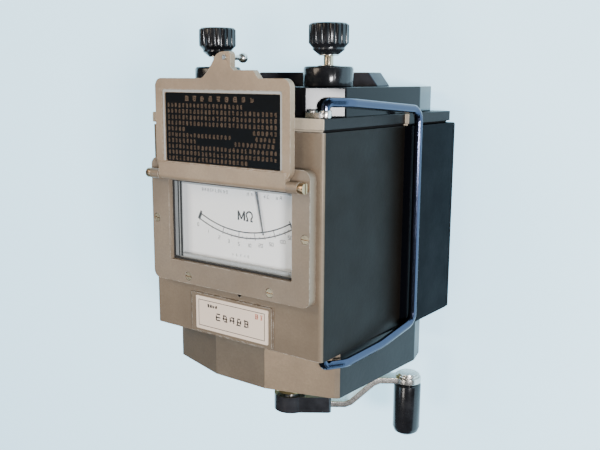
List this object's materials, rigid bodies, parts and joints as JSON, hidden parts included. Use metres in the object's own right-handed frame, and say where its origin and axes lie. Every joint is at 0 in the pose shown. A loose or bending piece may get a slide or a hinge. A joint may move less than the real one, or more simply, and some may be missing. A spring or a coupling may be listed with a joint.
{
  "type": "hand-cranked insulation resistance tester",
  "caption": "Hand-cranked insulation tester: cast case on its back, dial and needle behind glass, flip-over lid, knurled terminals, side bail and crank with a turning grip.",
  "frame": {"origin": "middle of the flat back, between the four corner screws, on the face the instrument lies on", "axes": "+Z out of the dial; +Y towards the terminals; +X to the right when the dial is read, the bail's side"},
  "size_m": [0.1177, 0.2151, 0.1274],
  "materials": {
    "case_paint": "satin, fine hammered",
    "rear_paint": "satin",
    "cap_paint": "satin",
    "gloss_paint": "gloss",
    "bridge_plastic": "gloss",
    "yellow_plate": "yellow passivated",
    "bronze_screw": "aged",
    "steel": "bright, worn",
    "nickel": "nickel plated",
    "brass": "turned",
    "black_bakelite": "polished",
    "black_enamel": "gloss enamel",
    "pointer_black": "painted dark",
    "gasket": "matt",
    "window_glass": "clear",
    "mask_paint": "matt",
    "dial_white": "matt white",
    "plate_cream": "printed",
    "magnet_iron": "ground",
    "winding": "enamelled copper wire on a core",
    "plain_aluminium": "milled",
    "board": "matt"
  },
  "bodies": {
    "case": {"front_case": "case_paint", "rear_case": "rear_paint", "back_plate": "rear_paint", "back_screws": "steel", "top_cap": "cap_paint", "terminal_housing": "gloss_paint", "terminal_bridge": "bridge_plastic", "gearbox_housing": "case_paint", "gear_cover": "yellow_plate", "cover_screws": "yellow_plate", "meter_bezel": "case_paint", "bezel_screws": "bronze_screw", "glass_gasket": "gasket", "meter_glass": "window_glass", "dial_frame": "mask_paint", "dial_plate": "dial_white", "movement_frame": "brass", "movement_magnet": "magnet_iron", "name_plate": "plate_cream", "hinge_screws": "bronze_screw", "bail_lug": "steel", "bail_lug_screw": "steel", "line_base": "black_bakelite", "earth_base": "black_bakelite", "line_stud": "brass", "earth_stud": "brass", "stud_nuts": "brass", "guard_ring": "nickel", "earth_washer": "nickel", "crank_bush": "brass", "stator_core": "winding", "generator_plates": "plain_aluminium", "rectifier_board": "board"},
    "needle": {"moving_coil": "winding", "pointer": "pointer_black"},
    "lid": {"lid_cover": "case_paint", "instruction_plate": "black_enamel"},
    "latch": {"latch_bolt": "steel", "latch_knob": "steel"},
    "bail": {"bail_handle": "steel", "bail_pins": "steel"},
    "crank": {"crank_shaft": "steel", "crank_hub": "black_enamel", "hub_screw": "steel", "crank_arm": "steel", "grip_pin": "steel", "drive_gear": "brass"},
    "grip": {"crank_grip": "black_bakelite"},
    "idler": {"layshaft": "steel", "lay_pinion": "brass", "lay_gear": "brass"},
    "rotor": {"rotor_shaft": "steel", "rotor_pinion": "steel", "rotor_magnet": "magnet_iron"},
    "line_washer": {"line_clamp_washer": "nickel"},
    "line_turner": {"line_insert": "brass", "line_knob": "black_bakelite"},
    "earth_washer_loose": {"earth_clamp_washer": "nickel"},
    "earth_turner": {"earth_insert": "brass", "earth_knob": "black_bakelite"}
  },
  "joints": [
    {"name": "crank_turn", "type": "hinge", "parent": "case", "child": "crank", "pos_m": [0, -0.08, 0.071], "axis": [0, 1, 0], "continuous": true},
    {"name": "grip_spin", "type": "hinge", "parent": "crank", "child": "grip", "pos_m": [0.05097, -0.095, 0.03397], "axis": [0, 1, 0], "continuous": true},
    {"name": "idler_spin", "type": "hinge", "parent": "case", "child": "idler", "pos_m": [-0.0225, -0.05, 0.041], "axis": [0, 1, 0], "continuous": true},
    {"name": "rotor_spin", "type": "hinge", "parent": "case", "child": "rotor", "pos_m": [0.00822, 0, 0.03204], "axis": [0, 1, 0], "continuous": true},
    {"name": "lid_swing", "type": "hinge", "parent": "case", "child": "lid", "pos_m": [0, 0.028, 0.1248], "axis": [1, 0, 0], "range_deg": [0, 180]},
    {"name": "latch_push", "type": "slide", "parent": "lid", "child": "latch", "axis": [0, 0, 1], "range_m": [0, 0.0065]},
    {"name": "bail_swing", "type": "hinge", "parent": "case", "child": "bail", "pos_m": [0.0494, 0, 0.112], "axis": [0, -1, 0], "range_deg": [0, 110]},
    {"name": "pointer_swing", "type": "hinge", "parent": "case", "child": "needle", "pos_m": [0.004, 0.063, 0.11], "axis": [0, 0, 1], "range_deg": [-37, 15.5]},
    {"name": "line_travel", "type": "slide", "parent": "case", "child": "line_washer", "axis": [0, -1, 0], "range_m": [0, 0.0043]},
    {"name": "line_turn", "type": "hinge", "parent": "line_washer", "child": "line_turner", "pos_m": [0.0344, 0.09, 0.0885], "axis": [0, -1, 0], "range_deg": [0, 2160]},
    {"name": "earth_travel", "type": "slide", "parent": "case", "child": "earth_washer_loose", "axis": [0, -1, 0], "range_m": [0, 0.0043]},
    {"name": "earth_turn", "type": "hinge", "parent": "earth_washer_loose", "child": "earth_turner", "pos_m": [-0.0344, 0.09, 0.0885], "axis": [0, -1, 0], "range_deg": [0, 2160]}
  ],
  "couplings": [
    {"joint": "idler_spin", "follows": "crank_turn", "ratio": -4},
    {"joint": "rotor_spin", "follows": "crank_turn", "ratio": 12},
    {"joint": "line_travel", "follows": "line_turn", "m_per_rad": 0.00011141},
    {"joint": "earth_travel", "follows": "earth_turn", "m_per_rad": 0.00011141}
  ]
}
